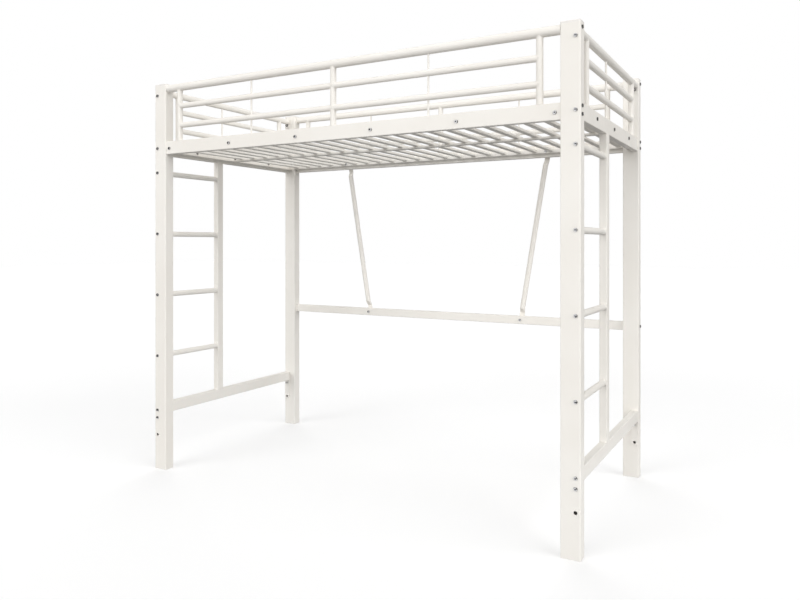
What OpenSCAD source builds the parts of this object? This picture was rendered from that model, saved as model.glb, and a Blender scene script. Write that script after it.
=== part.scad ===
// Metal loft bed: four posts, a railed sleeping deck and a ladder in each end.
// X runs along the bed, Y from the open front to the wall side, Z up.
// The origin is on the floor, under the middle of the bed.

/* [Overall] */
// Length over the posts
bed_l = 2030; // [1900:10:2200]
// Depth over the posts
bed_w = 1050; // [950:10:1200]
// Height to the top of the post caps
bed_h = 1830; // [1780:10:1950]
// How far the centre line of the side and end rails lies below that top
rail_drop = 305; // [260:5:400]

/* [Posts] */
// Width of a post along the bed
post_w = 70; // [60:1:80]
// Depth of a post across the bed
post_d = 50; // [45:1:60]
// Wall of a post tube
post_wall = 1; // [0.8:0.1:2]
// Corner radius of a post tube
post_r = 4; // [3:0.5:6]
// Height of a post cap above its tube
cap_h = 8; // [6:0.5:12]
// Radius of the rounded edges of a post cap
cap_r = 3; // [2:0.5:7]
// Depth of the plug of a cap or a foot inside its tube
plug_l = 10; // [6:1:11]
// Thickness of the flange of a foot under its tube
foot_h = 3; // [2:0.5:8]
// Height of the spare hole near the foot of each post
spare_hole_z = 162; // [80:1:190]
// Diameter of that hole
spare_hole_d = 13; // [9:0.5:14]

/* [Rails of the deck] */
// Height of a side or end rail
rail_h = 60; // [56:1:70]
// Thickness of a side or end rail
rail_t = 25; // [20:1:30]
// Wall of a rail tube
rail_wall = 1; // [0.8:0.1:2]
// Corner radius of a rail tube
rail_r = 3; // [2:0.5:5]
// How far the rails lie back from the outer faces of the posts
rail_setback = 5; // [4:0.5:8]
// Distance between the two bolts in the end of a side rail
rail_bolt_pitch = 29; // [28:1:34]

/* [Slat deck] */
// Number of slats
slat_n = 24; // [16:4:28]
// Width of a slat
slat_w = 25; // [18:1:30]
// Thickness of a slat
slat_t = 12; // [8:1:14]
// Wall of a slat tube
slat_wall = 0.7; // [0.6:0.1:1.2]
// Corner radius of a slat tube
slat_r = 3; // [2:0.5:3.5]
// Gap between a post and the slat next to it
slat_end_gap = 7; // [5:1:30]
// Side of the square bar that carries the ends of the slats
bar_s = 20; // [18:1:22]
// How far the slat bars lie below the centre line of the rails
bar_drop = 3; // [0:0.5:6]
// Wall of a slat bar
bar_wall = 1; // [0.8:0.1:1.6]
// Corner radius of a slat bar
bar_r = 2; // [1.8:0.1:4]
// Number of bolts in each slat bar
bar_bolt_n = 6; // [4:1:6]
// Distance of the outer bar bolts from the posts
bar_bolt_inset = 20; // [20:1:30]
// Width of the centre beam
beam_w = 30; // [20:1:40]
// Height of the centre beam
beam_h = 10; // [8:1:16]
// Wall of the centre beam
beam_wall = 1; // [0.8:0.1:1.6]
// Thickness of an end ledge
ledge_t = 2; // [1.5:0.25:3]
// Width of the leg of an end ledge that the beam rests on
ledge_w = 25; // [20:1:30]
// Height of an end ledge above the line of its bolts
ledge_over = 10; // [9:1:16]
// Distance between the bolts of an end ledge
ledge_bolt_pitch = 280; // [200:5:320]

/* [Guard] */
// Diameter of the top rail of the front and rear guards
guard_top_d = 35; // [30:1:35]
// Diameter of the top rail of the end guards
end_top_d = 30; // [24:1:30]
// Diameter of the other guard rails and uprights
guard_d = 25; // [18:1:25]
// Wall of the guard tubes
guard_wall = 0.9; // [0.8:0.1:1.5]
// Diameter of the thin rods of the guard
rod_d = 8; // [6:0.5:10]
// How far the centre of the front and rear top rails lies below the post tops
guard_top_drop = 23.5; // [23:0.5:30]
// How far the centre of the end top rails lies below the post tops
end_top_drop = 32; // [28:0.5:36]
// Distance of the outer uprights of the front and rear guards from the ends of the bed
upright_inset = 147; // [100:1:200]
// Distance of the uprights of the end guards from the front and the back of the bed
end_upright_inset = 130; // [100:1:200]
// Place of the rod in an end guard, from the front of the bed
end_rod_y = 440; // [250:1:700]
// Heights of the low and mid guard rails, as shares of the way from the rail to the top rail
guard_shares = [0.287, 0.65];
// Thickness of the plates at the ends of the end top rails
plate_t = 3; // [2:0.5:4]
// Width of those plates
plate_w = 30; // [26:1:34]
// How far the bolt of such a plate lies below the centre of its rail
plate_bolt_drop = 22.5; // [22:0.5:28]

/* [Ladders and bottom rails] */
// Number of rungs in each ladder
rung_n = 4; // [3:1:5]
// How far the top rung lies below the centre line of the rails
rung_drop = 116.5; // [80:0.5:160]
// How far the lowest rung lies above the centre line of the bottom rails
rung_rise = 254; // [200:1:320]
// Length of a rung
rung_l = 343; // [300:1:400]
// Diameter of a rung
rung_d = 25; // [20:1:28]
// Wall of a rung
rung_wall = 1; // [0.8:0.1:2]
// Depth of a ladder stile across the bed
stile_d = 40; // [30:1:50]
// Thickness of a ladder stile and a bottom rail along the bed
stile_t = 30; // [28:1:34]
// Height of a bottom rail
bottom_h = 50; // [50:1:60]
// Height of the centre line of the bottom rails
bottom_z = 283; // [250:1:320]
// Distance between the two bolts in the end of a bottom rail
bottom_bolt_pitch = 36; // [24:1:36]
// How far the middle of those bolts lies below the centre line of the rail
bottom_bolt_drop = 22.5; // [14:0.5:36]
// Thickness of the plates at the ends of the bottom rails
bottom_plate_t = 4; // [3:0.5:6]
// Wall of the stiles, bottom rails and stretcher
low_wall = 1; // [0.8:0.1:2]

/* [Rear stretcher and braces] */
// Height of the rear stretcher
stretcher_h = 40; // [30:1:50]
// Height of the centre line of the rear stretcher
stretcher_z = 690; // [400:5:900]
// Diameter of a brace tube
brace_d = 25; // [18:1:26]
// Wall of a brace tube, half the thickness of its flat ends
brace_wall = 1; // [0.8:0.1:1.2]
// Distance of the lower bolts of the braces from the middle of the bed
brace_low_x = 442; // [300:1:560]
// Wanted distance of their upper bolts from the middle, moved to the nearest gap between slats
brace_top_dist = 580; // [480:5:680]

/* [Fasteners] */
// Diameter of a bolt shank
bolt_d = 8; // [6:1:8]
// Diameter of a bolt head
head_d = 14; // [12:0.5:15]
// Height of a bolt head
head_h = 4.5; // [3:0.5:4.5]
// Radius of the shallow crown of a bolt head
head_crown_r = 30; // [20:1:60]
// Width of the bevel round the rim of a bolt head
head_bevel = 1.5; // [0.5:0.1:1.8]
// Width across the flats of the socket in a bolt head
socket_af = 5; // [4:0.5:6]
// Depth of that socket
socket_depth = 2.6; // [2:0.1:2.6]
// Radial clearance of a bolt in its hole
bolt_gap = 0.25; // [0.1:0.05:0.5]
// Width across the flats of a hex nut
nut_af = 13; // [11:0.5:13]
// Height of a hex nut
nut_h = 4; // [3:0.5:5]
// How far a post bolt reaches into the end of a rail
bolt_reach = 15; // [10:0.5:15]
// Thickness of the threaded plates inside the rail ends
end_plate_t = 5; // [4:0.5:8]
// Length of the round threaded plugs inside the tube ends
end_plug_l = 10; // [6:0.5:14]
// Diameter of the threaded inserts in the slat bars
insert_d = 11; // [10.5:0.5:13]
// Length of those inserts
insert_l = 14; // [10:0.5:15]

/* [Hidden] */
$fn = 64;

// Fits and cutting
slip = 0.1;            // clearance all round a plug or plate inside a tube
thread_gap = 0.05;     // radial clearance of a bolt in its thread
over = 1;              // overrun of a cutting shape

// Middles and faces that several pieces share
half_l = bed_l / 2;
half_w = bed_w / 2;
post_x = half_l - post_w / 2;
post_y = half_w - post_d / 2;
post_in_x = half_l - post_w;
post_in_y = half_w - post_d;
inset = rail_setback + rail_t / 2;
plane_x = half_l - inset;
plane_y = half_w - inset;
rail_in_x = half_l - rail_setback - rail_t;
rail_in_y = half_w - rail_setback - rail_t;
rail_z = bed_h - rail_drop;
rail_top = rail_z + rail_h / 2;
rail_bottom = rail_z - rail_h / 2;
tube_top = bed_h - cap_h;

// Slat deck
bar_z = rail_z - bar_drop;
bar_y = rail_in_y - bar_s / 2;
slat_y = rail_in_y - bar_s;
slat_z = bar_z + bar_s / 2 - slat_t / 2;
slat_span = post_in_x - slat_end_gap - slat_w / 2;
slat_pitch = 2 * slat_span / (slat_n - 1);
bar_bolt_pitch = 2 * (post_in_x - bar_bolt_inset) / (bar_bolt_n - 1);
beam_z = slat_z - slat_t / 2 - beam_h / 2;
nut_r = nut_af / sqrt(3);
nut_seat = 0.5;        // gap between the middle ledge nut and the beam under it
ledge_bolt_z = beam_z + beam_h / 2 + nut_r + nut_seat;
ledge_top = ledge_bolt_z + ledge_over;
ledge_bottom = beam_z - beam_h / 2 - ledge_t;

// Guard
guard_top_z = bed_h - guard_top_drop;
end_top_z = bed_h - end_top_drop;
plate_bolt_z = end_top_z - plate_bolt_drop;
plate_under = 14;      // how far such a plate reaches below its bolt
low_z = rail_top + guard_shares[0] * (guard_top_z - rail_top);
mid_z = rail_top + guard_shares[1] * (guard_top_z - rail_top);
upright_x = half_l - upright_inset;
upright_y = half_w - end_upright_inset;
rod_x = upright_x / 2;
rod_y = end_rod_y - half_w;
rod_gap = 0.1;         // radial clearance of a rod in the rails that it crosses

// Ladders
rung_pitch = (rail_z - rung_drop - bottom_z - rung_rise) / (rung_n - 1);
stile_y = -post_in_y + rung_l + stile_d / 2;
stile_low = bottom_z + bottom_h / 2;
bottom_bolt_z = bottom_z - bottom_bolt_drop;
bottom_plate_under = 12; // how far a plate of a bottom rail reaches below its spare hole

// Stretcher and braces
low_r = 4;             // corner radius of stiles, bottom rails and stretcher
gap_share = 0.207;     // where the upper bolt sits beyond the middle of its slat gap
brace_gap = round(brace_top_dist / slat_pitch - gap_share);
brace_top_x = (brace_gap + gap_share) * slat_pitch;
tab_t = 2 * brace_wall;
tab_r = 4;             // corner radius of a flat end
brace_run_x = brace_top_x - brace_low_x;
brace_run_z = bar_z - stretcher_z;
brace_l = sqrt(brace_run_x * brace_run_x + brace_run_z * brace_run_z);
brace_lean = atan2(brace_run_x, brace_run_z);
brace_y = half_w - rail_setback + tab_t / 2;
brace_edge = 14;       // how far a flat end reaches past the edge of its rail
taper_l = 22;          // length over which a brace is pressed flat
seam = 0.5;            // thickness of the slices in which a fold meets the flat end and the tube
fold_in = 0.1;         // how far a fold lies inside the faces of the tube and the flat end
tab_end = 13;          // how far a flat end reaches past its bolt
tab_side = brace_d / 2 * tan(brace_lean) + brace_edge;
tab_top = (bar_z - rail_bottom) / cos(brace_lean) + tab_side;
tab_low = stretcher_h / 2 / cos(brace_lean) + tab_side;
tube_y = tab_t / 2 - brace_d / 2;

// Fasteners
bolt_r = bolt_d / 2;
hole_r = bolt_r + bolt_gap;
thread_r = bolt_r + thread_gap;
head_r = head_d / 2;
bolt_tail = 1.5;       // how far a bolt stands out of its nut
bar_bolt_in = 12;      // how far a slat bar bolt reaches into its bar

// Colours of the finishes
coat = [0.93, 0.92, 0.89];
cap_white = [0.9, 0.89, 0.86];
zinc = [0.62, 0.62, 0.62];

// Where each run of bolts sits, as heights or as places along a rail
bottom_bolt_zs = [for (s = [-1, 1]) bottom_bolt_z + s * bottom_bolt_pitch / 2];
front_post_bolt_zs = concat(
    [plate_bolt_z, rail_z],
    [for (i = [0 : rung_n - 1]) rung_z(i)],
    bottom_bolt_zs
);
rear_post_bolt_zs = concat([plate_bolt_z, rail_z], bottom_bolt_zs);
side_bolt_zs = [guard_top_z, rail_z - rail_bolt_pitch / 2, rail_z + rail_bolt_pitch / 2];
bar_bolt_xs = [for (i = [0 : bar_bolt_n - 1]) i * bar_bolt_pitch - post_in_x + bar_bolt_inset];
ledge_bolt_ys = [-ledge_bolt_pitch, 0, ledge_bolt_pitch];

function rung_z(i) = rail_z - rung_drop - i * rung_pitch;
function slat_x(i) = i * slat_pitch - slat_span;

// Outlines

module rounded_rect(w, h, r) {
    union() {
        square([w - 2 * r, h], center = true);
        square([w, h - 2 * r], center = true);
        for (sx = [-1, 1], sy = [-1, 1])
            translate([sx * (w / 2 - r), sy * (h / 2 - r)]) circle(r);
    }
}

module box_section(w, h, r, wall) {
    difference() {
        rounded_rect(w, h, r);
        rounded_rect(w - 2 * wall, h - 2 * wall, r - wall);
    }
}

module ring_section(d, wall) {
    difference() {
        circle(d / 2);
        circle(d / 2 - wall);
    }
}

// Extrusions centred on the origin, along each axis

module along_x(l) {
    rotate([90, 0, 90]) linear_extrude(l, center = true) children();
}

module along_y(l) {
    rotate([90, 0, 0]) linear_extrude(l, center = true) children();
}

module along_z(l) {
    linear_extrude(l, center = true) children();
}

// Bolt holes centred on the origin

module hole_x(r, l) {
    rotate([0, 90, 0]) cylinder(h = l, r = r, center = true);
}

module hole_y(r, l) {
    rotate([90, 0, 0]) cylinder(h = l, r = r, center = true);
}

// Fasteners

module bolt(l) {
    difference() {
        union() {
            intersection() {
                translate([0, 0, head_h - head_crown_r]) sphere(head_crown_r);
                cylinder(h = head_h, r = head_r);
                cylinder(h = head_h, r1 = head_r + head_h - head_bevel, r2 = head_r - head_bevel);
            }
            translate([0, 0, -l]) cylinder(h = l, r = bolt_r);
        }
        translate([0, 0, head_h - socket_depth])
            cylinder(h = socket_depth + over, r = socket_af / sqrt(3), $fn = 6);
    }
}

// A bolt whose head faces +X or -X (side = 1 or -1), seated at the origin
module bolt_x(side, l) {
    rotate([0, side * 90, 0]) bolt(l);
}

// A bolt whose head faces +Y or -Y
module bolt_y(side, l) {
    rotate([-side * 90, 0, 0]) bolt(l);
}

module hex_nut() {
    difference() {
        cylinder(h = nut_h, r = nut_r, $fn = 6);
        translate([0, 0, -over]) cylinder(h = nut_h + 2 * over, r = thread_r);
    }
}

// Posts

module post(sx, sy, bolt_zs, with_stretcher) {
    color(coat) difference() {
        translate([sx * post_x, sy * post_y, (tube_top + foot_h) / 2])
            along_z(tube_top - foot_h) box_section(post_w, post_d, post_r, post_wall);
        for (z = bolt_zs)
            translate([sx * plane_x, sy * post_y, z]) hole_y(hole_r, post_d + 2 * over);
        translate([sx * plane_x, sy * post_y, spare_hole_z])
            hole_y(spare_hole_d / 2, post_d + 2 * over);
        for (z = side_bolt_zs)
            translate([sx * post_x, sy * plane_y, z]) hole_x(hole_r, post_w + 2 * over);
        if (with_stretcher)
            translate([sx * post_x, sy * plane_y, stretcher_z])
                hole_x(hole_r, post_w + 2 * over);
    }
}

module front_left_post() {
    post(-1, -1, front_post_bolt_zs, false);
}

module front_right_post() {
    post(1, -1, front_post_bolt_zs, false);
}

module rear_left_post() {
    post(-1, 1, rear_post_bolt_zs, true);
}

module rear_right_post() {
    post(1, 1, rear_post_bolt_zs, true);
}

// The plug that holds a cap or a foot inside its tube
module post_plug() {
    along_z(plug_l) rounded_rect(
        post_w - 2 * post_wall - 2 * slip,
        post_d - 2 * post_wall - 2 * slip,
        post_r - post_wall
    );
}

module cap() {
    intersection() {
        translate([0, 0, cap_h / 2]) along_z(cap_h) rounded_rect(post_w, post_d, post_r);
        along_y(post_d + 2 * over) rounded_rect(post_w, 2 * cap_h, cap_r);
        along_x(post_w + 2 * over) rounded_rect(post_d, 2 * cap_h, cap_r);
    }
    translate([0, 0, -plug_l / 2]) post_plug();
}

module foot() {
    translate([0, 0, foot_h / 2]) along_z(foot_h) rounded_rect(post_w, post_d, post_r);
    translate([0, 0, foot_h + plug_l / 2]) post_plug();
}

module post_caps() {
    color(cap_white) for (sx = [-1, 1], sy = [-1, 1])
        translate([sx * post_x, sy * post_y, tube_top]) cap();
}

module post_feet() {
    color(cap_white) for (sx = [-1, 1], sy = [-1, 1])
        translate([sx * post_x, sy * post_y, 0]) foot();
}

// Rails of the deck

module side_rail(sy, with_braces) {
    color(coat) difference() {
        translate([0, sy * plane_y, rail_z])
            along_x(2 * post_in_x) box_section(rail_t, rail_h, rail_r, rail_wall);
        for (x = bar_bolt_xs)
            translate([x, sy * plane_y, bar_z]) hole_y(hole_r, rail_t + 2 * over);
        if (with_braces)
            for (sx = [-1, 1])
                translate([sx * brace_top_x, sy * plane_y, bar_z])
                    hole_y(hole_r, rail_t + 2 * over);
    }
}

module front_side_rail() {
    side_rail(-1, false);
}

module rear_side_rail() {
    side_rail(1, true);
}

module end_rail(sx) {
    color(coat) difference() {
        translate([sx * plane_x, 0, rail_z])
            along_y(2 * post_in_y) box_section(rail_t, rail_h, rail_r, rail_wall);
        for (y = ledge_bolt_ys)
            translate([sx * plane_x, y, ledge_bolt_z]) hole_x(hole_r, rail_t + 2 * over);
    }
}

module left_end_rail() {
    end_rail(-1);
}

module right_end_rail() {
    end_rail(1);
}

// Slat deck

module slat_bar(sy, with_braces) {
    rail_side_y = sy * rail_in_y;
    color(coat) difference() {
        translate([0, sy * bar_y, bar_z])
            along_x(2 * post_in_x) box_section(bar_s, bar_s, bar_r, bar_wall);
        for (x = bar_bolt_xs)
            translate([x, rail_side_y, bar_z]) hole_y(insert_d / 2 + slip, 2 * bar_wall + over);
        if (with_braces)
            for (sx = [-1, 1])
                translate([sx * brace_top_x, sy * bar_y, bar_z])
                    hole_y(hole_r, bar_s + 2 * over);
    }
}

module front_slat_bar() {
    slat_bar(-1, false);
}

module rear_slat_bar() {
    slat_bar(1, true);
}

module end_ledge(sx) {
    leg_h = ledge_top - ledge_bottom;
    color(coat) difference() {
        union() {
            translate([sx * (rail_in_x - ledge_t / 2), 0, ledge_bottom + leg_h / 2])
                cube([ledge_t, 2 * post_in_y, leg_h], center = true);
            translate([sx * (rail_in_x - ledge_w / 2), 0, ledge_bottom + ledge_t / 2])
                cube([ledge_w, 2 * post_in_y, ledge_t], center = true);
        }
        for (y = ledge_bolt_ys)
            translate([sx * rail_in_x, y, ledge_bolt_z]) hole_x(hole_r, 2 * ledge_t + over);
    }
}

module left_end_ledge() {
    end_ledge(-1);
}

module right_end_ledge() {
    end_ledge(1);
}

module centre_beam() {
    color(coat) translate([0, 0, beam_z])
        along_x(2 * (rail_in_x - ledge_t)) box_section(beam_w, beam_h, slat_r, beam_wall);
}

// One quarter of the slats, counted from the left
module slat_group(quarter) {
    count = slat_n / 4;
    color(coat) for (i = [quarter * count : (quarter + 1) * count - 1])
        translate([slat_x(i), 0, slat_z])
            along_y(2 * slat_y) box_section(slat_w, slat_t, slat_r, slat_wall);
}

module left_outer_slats() {
    slat_group(0);
}

module left_inner_slats() {
    slat_group(1);
}

module right_inner_slats() {
    slat_group(2);
}

module right_outer_slats() {
    slat_group(3);
}

// Front and rear guards

module long_top_rail(sy) {
    color(coat) translate([0, sy * plane_y, guard_top_z])
        along_x(2 * post_in_x) ring_section(guard_top_d, guard_wall);
}

// Two halves of a rail, cut to sit round the outer and the middle uprights
module long_rail(sy, z) {
    color(coat) difference() {
        translate([0, sy * plane_y, z])
            along_x(2 * upright_x) ring_section(guard_d, guard_wall);
        for (x = [-upright_x, 0, upright_x])
            translate([x, sy * plane_y, z]) along_z(2 * guard_d) circle(guard_d / 2);
        for (x = [-rod_x, rod_x])
            translate([x, sy * plane_y, z]) along_z(2 * guard_d) circle(rod_d / 2 + rod_gap);
    }
}

// Space filled by the top rail that uprights and rods are cut to
module long_top_space(sy) {
    translate([0, sy * plane_y, guard_top_z]) along_x(2 * post_in_x) circle(guard_top_d / 2);
}

module long_uprights(sy) {
    color(coat) difference() {
        for (x = [-upright_x, 0, upright_x])
            translate([x, sy * plane_y, (rail_top + guard_top_z) / 2])
                along_z(guard_top_z - rail_top) ring_section(guard_d, guard_wall);
        long_top_space(sy);
    }
}

module long_rods(sy) {
    color(coat) difference() {
        for (x = [-rod_x, rod_x])
            translate([x, sy * plane_y, (rail_top + guard_top_z) / 2])
                along_z(guard_top_z - rail_top) circle(rod_d / 2);
        long_top_space(sy);
    }
}

module front_guard_top_rail() {
    long_top_rail(-1);
}

module front_guard_mid_rails() {
    long_rail(-1, mid_z);
}

module front_guard_low_rails() {
    long_rail(-1, low_z);
}

module front_guard_uprights() {
    long_uprights(-1);
}

module front_guard_rods() {
    long_rods(-1);
}

module rear_guard_top_rail() {
    long_top_rail(1);
}

module rear_guard_mid_rails() {
    long_rail(1, mid_z);
}

module rear_guard_low_rails() {
    long_rail(1, low_z);
}

module rear_guard_uprights() {
    long_uprights(1);
}

module rear_guard_rods() {
    long_rods(1);
}

// End guards

module end_top_rail(sx) {
    color(coat) translate([sx * plane_x, 0, end_top_z])
        along_y(2 * (post_in_y - plate_t)) ring_section(end_top_d, guard_wall);
}

module short_rail(sx, z) {
    color(coat) difference() {
        translate([sx * plane_x, 0, z])
            along_y(2 * upright_y) ring_section(guard_d, guard_wall);
        for (y = [-upright_y, upright_y])
            translate([sx * plane_x, y, z]) along_z(2 * guard_d) circle(guard_d / 2);
        translate([sx * plane_x, rod_y, z])
            along_z(2 * guard_d) circle(rod_d / 2 + rod_gap);
    }
}

module end_top_space(sx) {
    translate([sx * plane_x, 0, end_top_z]) along_y(2 * post_in_y) circle(end_top_d / 2);
}

module end_uprights(sx) {
    color(coat) difference() {
        for (y = [-upright_y, upright_y])
            translate([sx * plane_x, y, (rail_top + end_top_z) / 2])
                along_z(end_top_z - rail_top) ring_section(guard_d, guard_wall);
        end_top_space(sx);
    }
}

module end_rod(sx) {
    color(coat) difference() {
        translate([sx * plane_x, rod_y, (rail_top + end_top_z) / 2])
            along_z(end_top_z - rail_top) circle(rod_d / 2);
        end_top_space(sx);
    }
}

// Plates welded to the ends of an end top rail, bolted through the posts
module end_plates(sx) {
    plate_top = end_top_z + end_top_d / 2;
    plate_low = plate_bolt_z - plate_under;
    color(coat) for (sy = [-1, 1]) difference() {
        translate([sx * plane_x, sy * (post_in_y - plate_t / 2), (plate_top + plate_low) / 2])
            cube([plate_w, plate_t, plate_top - plate_low], center = true);
        translate([sx * plane_x, sy * post_in_y, plate_bolt_z]) hole_y(hole_r, 3 * plate_t);
    }
}

module left_guard_top_rail() {
    end_top_rail(-1);
}

module left_guard_mid_rail() {
    short_rail(-1, mid_z);
}

module left_guard_low_rail() {
    short_rail(-1, low_z);
}

module left_guard_uprights() {
    end_uprights(-1);
}

module left_guard_rod() {
    end_rod(-1);
}

module left_guard_plates() {
    end_plates(-1);
}

module right_guard_top_rail() {
    end_top_rail(1);
}

module right_guard_mid_rail() {
    short_rail(1, mid_z);
}

module right_guard_low_rail() {
    short_rail(1, low_z);
}

module right_guard_uprights() {
    end_uprights(1);
}

module right_guard_rod() {
    end_rod(1);
}

module right_guard_plates() {
    end_plates(1);
}

// Ladders

module ladder_stile(sx) {
    color(coat) translate([sx * plane_x, stile_y, (rail_bottom + stile_low) / 2])
        along_z(rail_bottom - stile_low) box_section(stile_t, stile_d, low_r, low_wall);
}

module ladder_rungs(sx) {
    color(coat) for (i = [0 : rung_n - 1])
        translate([sx * plane_x, rung_l / 2 - post_in_y, rung_z(i)])
            along_y(rung_l) ring_section(rung_d, rung_wall);
}

module left_ladder_stile() {
    ladder_stile(-1);
}

module right_ladder_stile() {
    ladder_stile(1);
}

module left_ladder_rungs() {
    ladder_rungs(-1);
}

module right_ladder_rungs() {
    ladder_rungs(1);
}

// Bottom rails, stretcher and braces

module bottom_rail(sx) {
    color(coat) translate([sx * plane_x, 0, bottom_z])
        along_y(2 * (post_in_y - bottom_plate_t)) box_section(stile_t, bottom_h, low_r, low_wall);
}

module left_bottom_rail() {
    bottom_rail(-1);
}

module right_bottom_rail() {
    bottom_rail(1);
}

// Plates welded to the ends of the bottom rails, which hang down the posts to their spare holes
module bottom_rail_plates() {
    plate_low = spare_hole_z - bottom_plate_under;
    color(coat) for (sx = [-1, 1], sy = [-1, 1]) difference() {
        translate([
            sx * plane_x,
            sy * (post_in_y - bottom_plate_t / 2),
            (stile_low + plate_low) / 2
        ]) cube([stile_t, bottom_plate_t, stile_low - plate_low], center = true);
        for (z = bottom_bolt_zs)
            translate([sx * plane_x, sy * post_in_y, z]) hole_y(thread_r, 3 * bottom_plate_t);
        translate([sx * plane_x, sy * post_in_y, spare_hole_z])
            hole_y(spare_hole_d / 2, 3 * bottom_plate_t);
    }
}

module rear_stretcher() {
    color(coat) difference() {
        translate([0, plane_y, stretcher_z])
            along_x(2 * post_in_x) box_section(rail_t, stretcher_h, rail_r, low_wall);
        for (sx = [-1, 1])
            translate([sx * brace_low_x, plane_y, stretcher_z])
                hole_y(hole_r, rail_t + 2 * over);
    }
}

// The flat end of a brace round its bolt, and the fold from there to the round tube
module brace_end(flat_l) {
    along_y(tab_t) {
        rounded_rect(brace_d, 2 * tab_end, tab_r);
        translate([-brace_d / 2, 0]) square([brace_d, flat_l]);
    }
    hull() {
        translate([0, 0, flat_l - seam])
            cube([brace_d - 2 * fold_in, tab_t - 2 * fold_in, seam], center = true);
        translate([0, tube_y, flat_l + taper_l]) cylinder(h = seam, r = brace_d / 2 - fold_in);
    }
}

module brace(sx) {
    tube_from = tab_low + taper_l + seam / 2;
    tube_to = brace_l - tab_top - taper_l - seam / 2;
    color(coat) translate([sx * brace_low_x, brace_y, stretcher_z])
        rotate([0, sx * brace_lean, 0]) difference() {
            union() {
                translate([0, tube_y, (tube_from + tube_to) / 2])
                    along_z(tube_to - tube_from) ring_section(brace_d, brace_wall);
                brace_end(tab_low);
                translate([0, 0, brace_l]) mirror([0, 0, 1]) brace_end(tab_top);
            }
            for (z = [0, brace_l]) translate([0, 0, z]) hole_y(hole_r, tab_t + over);
        }
}

module left_brace() {
    brace(-1);
}

module right_brace() {
    brace(1);
}

// Bolts and nuts

// Bolts through the posts into the ends of the end frames
module end_frame_bolts() {
    color(zinc) for (sx = [-1, 1]) {
        for (z = front_post_bolt_zs)
            translate([sx * plane_x, -half_w, z]) bolt_y(-1, post_d + bolt_reach);
        for (z = rear_post_bolt_zs)
            translate([sx * plane_x, half_w, z]) bolt_y(1, post_d + bolt_reach);
    }
}

// Bolts through the posts into the ends of the side frames and the stretcher
module side_frame_bolts() {
    color(zinc) for (sx = [-1, 1]) {
        for (sy = [-1, 1], z = side_bolt_zs)
            translate([sx * half_l, sy * plane_y, z]) bolt_x(sx, post_w + bolt_reach);
        translate([sx * half_l, plane_y, stretcher_z]) bolt_x(sx, post_w + bolt_reach);
    }
}

module slat_bar_bolts() {
    color(zinc) for (sy = [-1, 1], x = bar_bolt_xs)
        translate([x, sy * (half_w - rail_setback), bar_z])
            bolt_y(sy, rail_t + bar_bolt_in);
}

module ledge_bolts() {
    color(zinc) for (sx = [-1, 1], y = ledge_bolt_ys)
        translate([sx * (half_l - rail_setback), y, ledge_bolt_z])
            bolt_x(sx, rail_t + ledge_t + nut_h + bolt_tail);
}

module brace_bolts() {
    color(zinc) for (sx = [-1, 1]) {
        translate([sx * brace_top_x, slat_y, bar_z])
            bolt_y(-1, bar_s + rail_t + tab_t + nut_h + bolt_tail);
        translate([sx * brace_low_x, rail_in_y, stretcher_z])
            bolt_y(-1, rail_t + tab_t + nut_h + bolt_tail);
    }
}

// Threaded plate that closes the end of a rail, with holes at the given heights
module end_plate(w, h, r, wall, hole_zs) {
    difference() {
        along_x(end_plate_t)
            rounded_rect(w - 2 * wall - 2 * slip, h - 2 * wall - 2 * slip, r - wall);
        for (z = hole_zs) translate([0, 0, z]) hole_x(thread_r, end_plate_t + 2 * over);
    }
}

module rail_end_plates() {
    side_holes = [-rail_bolt_pitch / 2, rail_bolt_pitch / 2];
    plate_x = post_in_x - end_plate_t / 2;
    plate_y = post_in_y - end_plate_t / 2;
    color(zinc) for (sx = [-1, 1]) {
        for (sy = [-1, 1]) {
            translate([sx * plate_x, sy * plane_y, rail_z])
                end_plate(rail_t, rail_h, rail_r, rail_wall, side_holes);
            translate([sx * plane_x, sy * plate_y, rail_z]) rotate([0, 0, 90])
                end_plate(rail_t, rail_h, rail_r, rail_wall, [0]);
        }
        translate([sx * plate_x, plane_y, stretcher_z])
            end_plate(rail_t, stretcher_h, rail_r, low_wall, [0]);
    }
}

// Threaded plug inside a round tube, along Z from the origin down
module end_plug(d, wall) {
    translate([0, 0, -end_plug_l]) difference() {
        cylinder(h = end_plug_l, r = d / 2 - wall - slip);
        translate([0, 0, -over]) cylinder(h = end_plug_l + 2 * over, r = thread_r);
    }
}

module tube_end_plugs() {
    color(zinc) for (sx = [-1, 1]) {
        for (sy = [-1, 1])
            translate([sx * post_in_x, sy * plane_y, guard_top_z])
                rotate([0, sx * 90, 0]) end_plug(guard_top_d, guard_wall);
        for (i = [0 : rung_n - 1])
            translate([sx * plane_x, -post_in_y, rung_z(i)])
                rotate([90, 0, 0]) end_plug(rung_d, rung_wall);
    }
}

// Threaded inserts set in the outer walls of the slat bars
module bar_inserts() {
    color(zinc) for (sy = [-1, 1], x = bar_bolt_xs)
        translate([x, sy * (rail_in_y - insert_l / 2), bar_z]) difference() {
            hole_y(insert_d / 2, insert_l);
            hole_y(thread_r, insert_l + 2 * over);
        }
}

module hex_nuts() {
    color(zinc) for (sx = [-1, 1]) {
        for (sy = [-1, 1])
            translate([sx * plane_x, sy * (post_in_y - plate_t), plate_bolt_z])
                rotate([sy * 90, 0, 0]) hex_nut();
        for (y = ledge_bolt_ys)
            translate([sx * (rail_in_x - ledge_t), y, ledge_bolt_z])
                rotate([0, -sx * 90, 0]) hex_nut();
        translate([sx * brace_top_x, brace_y + tab_t / 2, bar_z])
            rotate([-90, 0, 0]) hex_nut();
        translate([sx * brace_low_x, brace_y + tab_t / 2, stretcher_z])
            rotate([-90, 0, 0]) hex_nut();
    }
}

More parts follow.
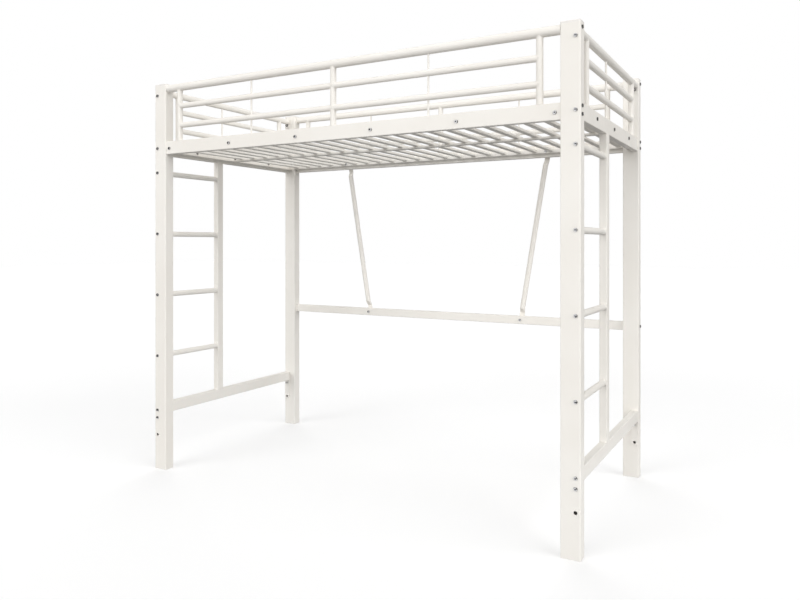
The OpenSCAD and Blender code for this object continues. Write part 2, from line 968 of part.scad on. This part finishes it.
front_left_post();
front_right_post();
rear_left_post();
rear_right_post();
post_caps();
post_feet();
front_side_rail();
rear_side_rail();
left_end_rail();
right_end_rail();
front_slat_bar();
rear_slat_bar();
left_end_ledge();
right_end_ledge();
centre_beam();
left_outer_slats();
left_inner_slats();
right_inner_slats();
right_outer_slats();
front_guard_top_rail();
front_guard_mid_rails();
front_guard_low_rails();
front_guard_uprights();
front_guard_rods();
rear_guard_top_rail();
rear_guard_mid_rails();
rear_guard_low_rails();
rear_guard_uprights();
rear_guard_rods();
left_guard_top_rail();
left_guard_mid_rail();
left_guard_low_rail();
left_guard_uprights();
left_guard_rod();
left_guard_plates();
right_guard_top_rail();
right_guard_mid_rail();
right_guard_low_rail();
right_guard_uprights();
right_guard_rod();
right_guard_plates();
left_ladder_stile();
right_ladder_stile();
left_ladder_rungs();
right_ladder_rungs();
left_bottom_rail();
right_bottom_rail();
bottom_rail_plates();
rear_stretcher();
left_brace();
right_brace();
end_frame_bolts();
side_frame_bolts();
slat_bar_bolts();
ledge_bolts();
brace_bolts();
rail_end_plates();
tube_end_plugs();
bar_inserts();
hex_nuts();
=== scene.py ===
"""Looks of a metal loft bed: powder-coated tubes, moulded caps and feet, zinc bolts and weld beads.

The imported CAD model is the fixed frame. Lengths are in metres. X runs along the bed, Y from the
open front to the wall side, Z up, and the origin is on the floor under the middle of the bed.
"""
import math

import bpy
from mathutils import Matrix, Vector


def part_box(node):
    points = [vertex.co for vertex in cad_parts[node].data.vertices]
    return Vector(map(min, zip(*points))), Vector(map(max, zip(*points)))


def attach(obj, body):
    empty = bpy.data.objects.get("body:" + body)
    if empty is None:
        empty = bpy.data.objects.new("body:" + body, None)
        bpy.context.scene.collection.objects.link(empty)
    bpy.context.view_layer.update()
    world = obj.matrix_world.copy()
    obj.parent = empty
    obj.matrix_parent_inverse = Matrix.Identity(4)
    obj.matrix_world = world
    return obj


# Camera at the photograph's viewing angle
CAMERA_PLACE = (1.6534, -2.9419, 1.0721)
CAMERA_TURN = 0.5246            # about Z, in radians
CAMERA_SENSOR = 36              # width in mm
CAMERA_LENS = 32.27             # mm
CAMERA_SHIFT = (0.01875, -0.0706)

# Studio light, as shares of the light that renders a colour as it is written
SKY_LEVEL = 0.45
SUNS = {                        # name: (direction towards the light, share, angular width in degrees)
    "key_light": ((-0.25, -0.93, 0.28), 0.64, 50),
    "right_light": ((0.92, -0.20, 0.34), 0.75, 60),
    "back_light": ((-0.45, 0.80, 0.30), 0.58, 60),
}
WHITE = (1, 1, 1, 1)
FLOOR_SIDE = 60.0
FLOOR_ALBEDO = 0.32             # what the floor sends back to the bed
FLOOR_SEEN = 0.62               # what the camera sees it send back, so that the shadows show
FLOOR_LIFT = 0.35               # light that the camera sees it give off, so that it is white

# Black studio cloth that only reflections show: it hangs round the set and lies on the floor up to
# the bed, but for an opening in front that the bright metal mirrors
CLOTH_INNER = 1.9
CLOTH_OUTER = 6.0
CLOTH_HEIGHT = 9.0
CLOTH_LIFT = 0.002              # keeps it clear of the floor
CLOTH_GREY = 0.02
CLOTH_EDGES = (37, 350)         # degrees from the front, by way of the left
CLOTH_PANELS = 12

# Tones of the finishes: (noise scale per metre, linear colour of its lows, of its highs)
COAT_TONES = (3.0, (0.80, 0.77, 0.72, 1.0), (0.83, 0.805, 0.76, 1.0))
CAP_TONES = (30.0, (0.76, 0.735, 0.70, 1.0), (0.80, 0.775, 0.74, 1.0))
ZINC_TONES = (700.0, (0.62, 0.62, 0.63, 1.0), (0.74, 0.74, 0.74, 1.0))
TONE_NOISE = (0.35, 0.65)       # noise values at which the two tones are reached

# Roughness of the finishes: (noise scale per metre, lowest, highest)
COAT_ROUGHNESS = (40.0, 0.40, 0.52)
CAP_ROUGHNESS = (90.0, 0.42, 0.55)
ZINC_ROUGHNESS = (900.0, 0.12, 0.20)
ROUGHNESS_NOISE = (0.3, 0.7)    # noise values at which the lowest and the highest are reached

# Relief of the finishes: (noise scale per metre, noise detail, depth, strength)
COAT_PEEL = (420.0, 1.0, 0.0003, 0.12)
COAT_GRAIN = (2600.0, 1.0, 0.0001, 0.10)
CAP_GRAIN = (1500.0, 1.0, 0.0002, 0.2)
ZINC_GRAIN = (2400.0, 2.0, 0.0001, 0.04)

COAT_GLOSS = 0.3
PAINTED_SHADE_REACH = 0.006            # painted shade: how near a wall has to be for the zinc colour to be darkened as if in its shade
PAINTED_SHADE_POWER = 2.0              # power by which that painted shade deepens

# Numbers and sizes of welded pieces that their boxes don't tell
SLATS = 24
SLAT_WIDTH = 0.025
RUNGS = 4
RAIL_CORNER = 0.003             # corner radius of the end rails and slats
STILE_CORNER = 0.004            # corner radius of the ladder stiles and bottom rails

# Weld beads
BEAD_R = 0.0016
FINE_BEAD_R = 0.0012            # on rods, slats and plates
BEAD_STEP = 0.0014
BEAD_SIDES = 6
RIPPLE_PITCH = 0.0042
RIPPLE = 0.12                   # how much the ripples swell a bead, as a share of its radius
WANDER = 0.25                   # how much noise swells or shrinks it, as a share too
WANDER_SCALE = 150              # noise scale per metre
NOISE_MIDDLE = 0.5              # noise value that leaves it as it is
SEED = 7
SEAM_POINTS = 48                # points of a seam line round a tube
CORNER_POINTS = 5               # points of a seam line round one corner of a box section

CAP_NODES = ("post_caps", "post_feet")
ZINC_NODES = (
    "end_frame_bolts", "side_frame_bolts", "slat_bar_bolts", "ledge_bolts", "brace_bolts",
    "rail_end_plates", "tube_end_plugs", "bar_inserts", "hex_nuts",
)

X = Vector((1, 0, 0))
Y = Vector((0, 1, 0))
Z = Vector((0, 0, 1))


# Objects and nodes that several parts of the scene use

def new_object(name, data):
    made = bpy.data.objects.new(name, data)
    bpy.context.scene.collection.objects.link(made)
    return made


def new_material(name):
    """A material with the standard shader, and its node tree."""
    material = bpy.data.materials.new(name)
    material.use_nodes = True
    return material, material.node_tree


def math_node(tree, operation, *values):
    """The result of a maths operation on the given numbers and sockets."""
    node = tree.nodes.new("ShaderNodeMath")
    node.operation = operation
    for socket, value in zip(node.inputs, values):
        if isinstance(value, (int, float)):
            socket.default_value = value
        else:
            tree.links.new(value, socket)
    return node.outputs[0]


def map_range(tree, value, to, given=(0.0, 1.0)):
    """The value, brought from the given range to another."""
    node = tree.nodes.new("ShaderNodeMapRange")
    node.inputs["From Min"].default_value, node.inputs["From Max"].default_value = given
    node.inputs["To Min"].default_value, node.inputs["To Max"].default_value = to
    tree.links.new(value, node.inputs["Value"])
    return node.outputs["Result"]


# Camera, lights and floor

def make_camera():
    data = bpy.data.cameras.new("camera")
    data.sensor_width = CAMERA_SENSOR
    data.lens = CAMERA_LENS
    data.shift_x, data.shift_y = CAMERA_SHIFT
    camera = new_object("camera", data)
    camera.location = CAMERA_PLACE
    camera.rotation_euler = (math.pi / 2, 0, CAMERA_TURN)
    bpy.context.scene.camera = camera


def background_ray(tree):
    """1 for a ray that shows the background as it is: one of the camera, a gloss or a clear surface."""
    path = tree.nodes.new("ShaderNodeLightPath").outputs
    seen = math_node(tree, "ADD", path["Is Camera Ray"], path["Is Glossy Ray"])
    shown = math_node(tree, "ADD", seen, path["Is Transmission Ray"])
    shown.node.use_clamp = True
    return shown


def make_world():
    world = bpy.data.worlds.new("studio")
    bpy.context.scene.world = world
    world.use_nodes = True
    tree = world.node_tree
    sky = tree.nodes["Background"]
    sky.inputs["Color"].default_value = WHITE
    strength = map_range(tree, background_ray(tree), (SKY_LEVEL, 1.0))
    tree.links.new(strength, sky.inputs["Strength"])


def make_suns():
    for name, (towards, share, width) in SUNS.items():
        data = bpy.data.lights.new(name, "SUN")
        data.energy = share * math.pi
        data.angle = math.radians(width)
        sun = new_object(name, data)
        sun.visible_glossy = False
        sun.rotation_euler = Vector(towards).to_track_quat("Z", "Y").to_euler()


def make_floor():
    """A floor that is white in the picture, apart from the shadows of the bed."""
    half = FLOOR_SIDE / 2
    corners = [(-half, -half, 0), (half, -half, 0), (half, half, 0), (-half, half, 0)]
    mesh = bpy.data.meshes.new("floor")
    mesh.from_pydata(corners, [], [(0, 1, 2, 3)])
    material, tree = new_material("floor_white")
    tree.nodes.clear()
    matt = tree.nodes.new("ShaderNodeBsdfDiffuse")
    albedo = map_range(tree, background_ray(tree), (FLOOR_ALBEDO, FLOOR_SEEN))
    tree.links.new(albedo, matt.inputs["Color"])
    glow = tree.nodes.new("ShaderNodeEmission")
    lift = math_node(tree, "MULTIPLY", background_ray(tree), FLOOR_LIFT)
    tree.links.new(lift, glow.inputs["Strength"])
    both = tree.nodes.new("ShaderNodeAddShader")
    tree.links.new(matt.outputs[0], both.inputs[0])
    tree.links.new(glow.outputs[0], both.inputs[1])
    out = tree.nodes.new("ShaderNodeOutputMaterial")
    tree.links.new(both.outputs[0], out.inputs["Surface"])
    mesh.materials.append(material)
    floor = new_object("floor", mesh)


def make_cloth():
    """The black cloth, in panels: each lies on the floor and then goes up round the set."""
    start, end = CLOTH_EDGES
    points, faces = [], []
    for i in range(CLOTH_PANELS + 1):
        turn = math.radians(start + (end - start) * i / CLOTH_PANELS)
        away = Vector((-math.sin(turn), -math.cos(turn), 0))
        points += [away * CLOTH_INNER, away * CLOTH_OUTER, away * CLOTH_OUTER + CLOTH_HEIGHT * Z]
    for i in range(CLOTH_PANELS):
        for edge in (3 * i, 3 * i + 1):
            faces.append((edge, edge + 3, edge + 4, edge + 1))
    mesh = bpy.data.meshes.new("black_cloth")
    mesh.from_pydata(points, [], faces)
    material, tree = new_material("cloth_black")
    shader = tree.nodes["Principled BSDF"]
    shader.inputs["Base Color"].default_value = (CLOTH_GREY, CLOTH_GREY, CLOTH_GREY, 1)
    shader.inputs["Roughness"].default_value = 1.0
    mesh.materials.append(material)
    cloth = new_object("black_cloth", mesh)
    cloth.location.z = CLOTH_LIFT
    cloth.visible_camera = False
    cloth.visible_diffuse = False
    cloth.visible_shadow = False
    cloth.visible_transmission = False


# Materials, patterned on Object coordinates

def noise(tree, scale, detail=2.0):
    place = tree.nodes.new("ShaderNodeTexCoord")
    texture = tree.nodes.new("ShaderNodeTexNoise")
    texture.inputs["Scale"].default_value = scale
    texture.inputs["Detail"].default_value = detail
    tree.links.new(place.outputs["Object"], texture.inputs["Vector"])
    return texture.outputs["Fac"]


def tone(tree, scale, *colours):
    """A colour that drifts between two."""
    ramp = tree.nodes.new("ShaderNodeValToRGB")
    for stop, position, colour in zip(ramp.color_ramp.elements, TONE_NOISE, colours):
        stop.position = position
        stop.color = colour
    tree.links.new(noise(tree, scale), ramp.inputs["Fac"])
    return ramp.outputs["Color"]


def cloudy(tree, scale, low, high):
    """A value that goes in clouds between low and high."""
    return map_range(tree, noise(tree, scale), (low, high), ROUGHNESS_NOISE)


def relief(tree, scale, detail, depth, strength, under=None):
    """A fine relief, on top of the one under it."""
    bump = tree.nodes.new("ShaderNodeBump")
    bump.inputs["Distance"].default_value = depth
    bump.inputs["Strength"].default_value = strength
    tree.links.new(noise(tree, scale, detail), bump.inputs["Height"])
    if under is not None:
        tree.links.new(under, bump.inputs["Normal"])
    return bump.outputs["Normal"]


def powder_coat():
    """Satin white powder coat: a fine orange peel, and tone that drifts a little along the tubes."""
    material, tree = new_material("powder_coat")
    shader = tree.nodes["Principled BSDF"]
    shader.inputs["Specular IOR Level"].default_value = COAT_GLOSS
    tree.links.new(tone(tree, *COAT_TONES), shader.inputs["Base Color"])
    tree.links.new(cloudy(tree, *COAT_ROUGHNESS), shader.inputs["Roughness"])
    grain = relief(tree, *COAT_GRAIN, under=relief(tree, *COAT_PEEL))
    tree.links.new(grain, shader.inputs["Normal"])
    return material


def moulded_plastic():
    """White moulded plastic with a fine sparked grain."""
    material, tree = new_material("moulded_plastic")
    shader = tree.nodes["Principled BSDF"]
    tree.links.new(tone(tree, *CAP_TONES), shader.inputs["Base Color"])
    tree.links.new(cloudy(tree, *CAP_ROUGHNESS), shader.inputs["Roughness"])
    tree.links.new(relief(tree, *CAP_GRAIN), shader.inputs["Normal"])
    return material


def zinc_plate():
    """Bright zinc plate, a little cloudy, with painted shade that darkens its colour in the sockets and
    round the foot of a head.
    """
    material, tree = new_material("zinc_plate")
    shader = tree.nodes["Principled BSDF"]
    shader.inputs["Metallic"].default_value = 1.0
    # painted shade: ambient occlusion, raised to a power (depth), darkens the zinc colour in sockets and
    # round the foot of each head
    painted_shade_ao = tree.nodes.new("ShaderNodeAmbientOcclusion")
    painted_shade_ao.inputs["Distance"].default_value = PAINTED_SHADE_REACH
    depth = math_node(tree, "POWER", painted_shade_ao.outputs["AO"], PAINTED_SHADE_POWER)
    shade = tree.nodes.new("ShaderNodeVectorMath")
    shade.operation = "SCALE"
    tree.links.new(tone(tree, *ZINC_TONES), shade.inputs[0])
    tree.links.new(depth, shade.inputs["Scale"])
    tree.links.new(shade.outputs["Vector"], shader.inputs["Base Color"])
    tree.links.new(cloudy(tree, *ZINC_ROUGHNESS), shader.inputs["Roughness"])
    tree.links.new(relief(tree, *ZINC_GRAIN), shader.inputs["Normal"])
    return material


def paint_node(node, material):
    node.data.materials.clear()
    node.data.materials.append(material)


# Seam lines that the weld beads follow

def tube_seam(centre, out, along, r, big_r):
    """Where a tube of radius r that runs towards out meets a tube of radius big_r that runs along."""
    side = out.cross(along)
    line = []
    for i in range(SEAM_POINTS):
        turn = math.tau * i / SEAM_POINTS
        reach = math.sqrt(max(big_r ** 2 - (r * math.sin(turn)) ** 2, 0))
        line.append(centre + r * math.cos(turn) * along + r * math.sin(turn) * side + reach * out)
    return line


def ring_seam(centre, out, r):
    """Where a round tube that runs towards out meets a flat face."""
    along = out.orthogonal().normalized()
    side = out.cross(along)
    line = []
    for i in range(SEAM_POINTS):
        turn = math.tau * i / SEAM_POINTS
        line.append(centre + r * math.cos(turn) * along + r * math.sin(turn) * side)
    return line


def box_seam(centre, u, v, width, height, corner):
    """Where a box section, width along u and height along v, meets a flat face."""
    line = []
    for quarter, (su, sv) in enumerate(((1, 1), (-1, 1), (-1, -1), (1, -1))):
        bend_centre = centre + su * (width / 2 - corner) * u + sv * (height / 2 - corner) * v
        for i in range(CORNER_POINTS):
            turn = math.pi / 2 * (quarter + i / (CORNER_POINTS - 1))
            line.append(bend_centre + corner * math.cos(turn) * u + corner * math.sin(turn) * v)
    return line


def middle(node):
    low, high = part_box(node)
    return (low + high) / 2


def long_guard_seams(side):
    """Seams of the front or rear guard: its uprights and rods, and the rails cut to them."""
    low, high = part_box(f"{side}_guard_uprights")
    r = (high.y - low.y) / 2
    y = (high.y + low.y) / 2
    foot_z = low.z
    upright_x = high.x - r
    rod_low, rod_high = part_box(f"{side}_guard_rods")
    rod_r = (rod_high.y - rod_low.y) / 2
    rod_x = rod_high.x - rod_r
    top_low, top_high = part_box(f"{side}_guard_top_rail")
    top_r = (top_high.z - top_low.z) / 2
    top_z = (top_high.z + top_low.z) / 2
    levels = [middle(f"{side}_guard_{level}_rails").z for level in ("low", "mid")]
    seams = []
    for x in (-upright_x, 0, upright_x):
        seams.append((BEAD_R, tube_seam(Vector((x, y, top_z)), -Z, X, r, top_r)))
        seams.append((BEAD_R, ring_seam(Vector((x, y, foot_z)), Z, r)))
        for z in levels:
            for way in (-1, 1):
                if abs(x + way * r) < upright_x:
                    seams.append((BEAD_R, tube_seam(Vector((x, y, z)), way * X, Z, r, r)))
    for x in (-rod_x, rod_x):
        seams.append((FINE_BEAD_R, tube_seam(Vector((x, y, top_z)), -Z, X, rod_r, top_r)))
        seams.append((FINE_BEAD_R, ring_seam(Vector((x, y, foot_z)), Z, rod_r)))
        for z in levels:
            for way in (-1, 1):
                seams.append((FINE_BEAD_R, tube_seam(Vector((x, y, z)), way * Z, X, rod_r, r)))
    return seams


def end_guard_seams(side):
    """Seams of the left or right end guard, with the plates at the ends of its top rail."""
    low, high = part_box(f"{side}_guard_uprights")
    r = (high.x - low.x) / 2
    x = (high.x + low.x) / 2
    foot_z = low.z
    upright_y = high.y - r
    rod = middle(f"{side}_guard_rod")
    rod_low, rod_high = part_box(f"{side}_guard_rod")
    rod_r = (rod_high.x - rod_low.x) / 2
    top = middle(f"{side}_guard_top_rail")
    top_low, top_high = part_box(f"{side}_guard_top_rail")
    top_r = (top_high.z - top_low.z) / 2
    levels = [middle(f"{side}_guard_{level}_rail").z for level in ("low", "mid")]
    seams = []
    for way in (-1, 1):
        y = way * upright_y
        seams.append((BEAD_R, tube_seam(Vector((x, y, top.z)), -Z, Y, r, top_r)))
        seams.append((BEAD_R, ring_seam(Vector((x, y, foot_z)), Z, r)))
        seams.append((FINE_BEAD_R, ring_seam(Vector((x, way * top_high.y, top.z)), -way * Y, top_r)))
        for z in levels:
            seams.append((BEAD_R, tube_seam(Vector((x, y, z)), -way * Y, Z, r, r)))
            seams.append((FINE_BEAD_R, tube_seam(Vector((x, rod.y, z)), way * Z, Y, rod_r, r)))
    seams.append((FINE_BEAD_R, tube_seam(Vector((x, rod.y, top.z)), -Z, Y, rod_r, top_r)))
    seams.append((FINE_BEAD_R, ring_seam(Vector((x, rod.y, foot_z)), Z, rod_r)))
    return seams


def ladder_seams(side):
    """Seams at the head and foot of a ladder stile, and at the rungs that end in it."""
    low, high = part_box(f"{side}_ladder_stile")
    x, y = (low.x + high.x) / 2, (low.y + high.y) / 2
    rail_low, rail_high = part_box(f"{side}_end_rail")
    head_w = rail_high.x - rail_low.x
    depth = high.y - low.y
    seams = [
        (BEAD_R, box_seam(Vector((x, y, high.z)), X, Y, head_w, depth, RAIL_CORNER)),
        (BEAD_R, box_seam(Vector((x, y, low.z)), X, Y, high.x - low.x, depth, STILE_CORNER)),
    ]
    rung_low, rung_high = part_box(f"{side}_ladder_rungs")
    r = (rung_high.x - rung_low.x) / 2
    pitch = (rung_high.z - rung_low.z - 2 * r) / (RUNGS - 1)
    for i in range(RUNGS):
        place = Vector((x, rung_high.y, rung_low.z + r + i * pitch))
        seams.append((BEAD_R, ring_seam(place, -Y, r)))
    return seams


def bottom_rail_seams(side):
    """Seams at both ends of a bottom rail, on the plates that bolt to the posts."""
    low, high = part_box(f"{side}_bottom_rail")
    x, z = (low.x + high.x) / 2, (low.z + high.z) / 2
    width, height = high.x - low.x, high.z - low.z
    seams = []
    for y in (low.y, high.y):
        seams.append((FINE_BEAD_R, box_seam(Vector((x, y, z)), X, Z, width, height, STILE_CORNER)))
    return seams


def slat_seams():
    """Seams at both ends of every slat, on the bars that carry them."""
    low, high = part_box("left_outer_slats")
    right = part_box("right_outer_slats")[1].x
    mid_z, height = (low.z + high.z) / 2, high.z - low.z
    first = low.x + SLAT_WIDTH / 2
    pitch = (right - SLAT_WIDTH / 2 - first) / (SLATS - 1)
    seams = []
    for i in range(SLATS):
        for y in (low.y, high.y):
            place = Vector((first + i * pitch, y, mid_z))
            seams.append((FINE_BEAD_R, box_seam(place, X, Z, SLAT_WIDTH, height, RAIL_CORNER)))
    return seams


def seam_mesh(seams):
    """The closed seam lines as edges, with the radius of their beads on the points."""
    points, edges, sizes = [], [], []
    for size, line in seams:
        start = len(points)
        points += line
        edges += [(start + i, start + (i + 1) % len(line)) for i in range(len(line))]
        sizes += [size] * len(line)
    mesh = bpy.data.meshes.new("seam_lines")
    mesh.from_pydata(points, edges, [])
    mesh.attributes.new("bead_radius", "FLOAT", "POINT").data.foreach_set("value", sizes)
    return mesh


# Geometry Nodes

def new_tree(name, values):
    """A tree that takes lines, the named values and a finish, and gives pieces."""
    tree = bpy.data.node_groups.new(name, "GeometryNodeTree")
    sockets = tree.interface
    sockets.new_socket("Lines", in_out="INPUT", socket_type="NodeSocketGeometry")
    for value_name, value in values.items():
        kind = "NodeSocketInt" if isinstance(value, int) else "NodeSocketFloat"
        sockets.new_socket(value_name, in_out="INPUT", socket_type=kind).default_value = value
    sockets.new_socket("Finish", in_out="INPUT", socket_type="NodeSocketMaterial")
    sockets.new_socket("Pieces", in_out="OUTPUT", socket_type="NodeSocketGeometry")
    return tree, tree.nodes.new("NodeGroupInput").outputs, tree.nodes.new("NodeGroupOutput").inputs


def finish_tree(tree, given, made, geometry):
    """Makes the geometry real and gives it the finish."""
    realize = tree.nodes.new("GeometryNodeRealizeInstances")
    tree.links.new(geometry, realize.inputs["Geometry"])
    paint = tree.nodes.new("GeometryNodeSetMaterial")
    tree.links.new(realize.outputs["Geometry"], paint.inputs["Geometry"])
    tree.links.new(given["Finish"], paint.inputs["Material"])
    tree.links.new(paint.outputs["Geometry"], made["Pieces"])


def bead_size(tree, given):
    """The radius of a bead: that of its line, in ripples along it, and wandering a little."""
    spline = tree.nodes.new("GeometryNodeSplineParameter")
    ripples = math_node(tree, "DIVIDE", spline.outputs["Length"], given["Ripple pitch"])
    wave = math_node(tree, "SINE", math_node(tree, "MULTIPLY", ripples, math.tau))
    ripple = math_node(tree, "MULTIPLY", wave, given["Ripple"])
    place = tree.nodes.new("GeometryNodeInputPosition")
    cloud = tree.nodes.new("ShaderNodeTexNoise")
    cloud.noise_dimensions = "4D"
    cloud.inputs["Scale"].default_value = WANDER_SCALE
    tree.links.new(place.outputs["Position"], cloud.inputs["Vector"])
    tree.links.new(given["Seed"], cloud.inputs["W"])
    drift = math_node(tree, "SUBTRACT", cloud.outputs["Fac"], NOISE_MIDDLE)
    wander = math_node(tree, "MULTIPLY", drift, given["Wander"])
    swell = math_node(tree, "ADD", math_node(tree, "ADD", ripple, wander), 1.0)
    line_size = tree.nodes.new("GeometryNodeInputNamedAttribute")
    line_size.data_type = "FLOAT"
    line_size.inputs["Name"].default_value = "bead_radius"
    return math_node(tree, "MULTIPLY", line_size.outputs["Attribute"], swell)


def bead_tree():
    """Weld beads along the lines: a circle of changing size, swept."""
    values = {
        "Step": BEAD_STEP, "Ripple pitch": RIPPLE_PITCH, "Ripple": RIPPLE, "Wander": WANDER, "Seed": SEED,
    }
    tree, given, made = new_tree("weld_beads", values)
    nodes, links = tree.nodes, tree.links
    lines = nodes.new("GeometryNodeMeshToCurve")
    links.new(given["Lines"], lines.inputs["Mesh"])
    path = nodes.new("GeometryNodeResampleCurve")
    path.mode = "LENGTH"
    links.new(lines.outputs["Curve"], path.inputs["Curve"])
    links.new(given["Step"], path.inputs["Length"])
    circle = nodes.new("GeometryNodeCurvePrimitiveCircle")
    circle.inputs["Resolution"].default_value = BEAD_SIDES
    circle.inputs["Radius"].default_value = 1.0
    sweep = nodes.new("GeometryNodeCurveToMesh")
    links.new(path.outputs["Curve"], sweep.inputs["Curve"])
    links.new(circle.outputs["Curve"], sweep.inputs["Profile Curve"])
    links.new(bead_size(tree, given), sweep.inputs["Scale"])
    smooth = nodes.new("GeometryNodeSetShadeSmooth")
    links.new(sweep.outputs["Mesh"], smooth.inputs["Geometry"])
    finish_tree(tree, given, made, smooth.outputs["Geometry"])
    return tree


def grow(name, mesh, tree, values):
    """Runs the tree on the mesh, and returns what it makes as a plain mesh object."""
    source = new_object(name + "_source", mesh)
    modifier = source.modifiers.new(tree.name, "NODES")
    modifier.node_group = tree
    for socket in tree.interface.items_tree:
        if socket.in_out == "INPUT" and socket.name in values:
            modifier[socket.identifier] = values[socket.name]
    graph = bpy.context.evaluated_depsgraph_get()
    made = bpy.data.meshes.new_from_object(source.evaluated_get(graph))
    source.modifiers.remove(modifier)
    bpy.data.objects.remove(source)
    made.name = name
    return new_object(name, made)


# The scene

make_camera()
bpy.context.scene.view_settings.view_transform = "Standard"
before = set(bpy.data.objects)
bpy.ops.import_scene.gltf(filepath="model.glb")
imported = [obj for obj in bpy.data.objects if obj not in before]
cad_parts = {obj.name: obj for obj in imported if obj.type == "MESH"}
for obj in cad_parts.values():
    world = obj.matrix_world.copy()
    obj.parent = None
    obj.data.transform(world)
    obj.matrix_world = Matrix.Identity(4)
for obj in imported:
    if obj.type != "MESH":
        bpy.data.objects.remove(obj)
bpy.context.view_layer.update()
make_world()
make_suns()
make_floor()
make_cloth()

coat = powder_coat()
plastic = moulded_plastic()
zinc = zinc_plate()
for name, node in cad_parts.items():
    if name in CAP_NODES:
        paint_node(node, plastic)
    elif name in ZINC_NODES:
        paint_node(node, zinc)
    else:
        paint_node(node, coat)

seams = slat_seams()
for side in ("front", "rear"):
    seams += long_guard_seams(side)
for side in ("left", "right"):
    seams += end_guard_seams(side) + ladder_seams(side) + bottom_rail_seams(side)
beads = grow("weld_beads", seam_mesh(seams), bead_tree(), {"Finish": coat})
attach(beads, "root")
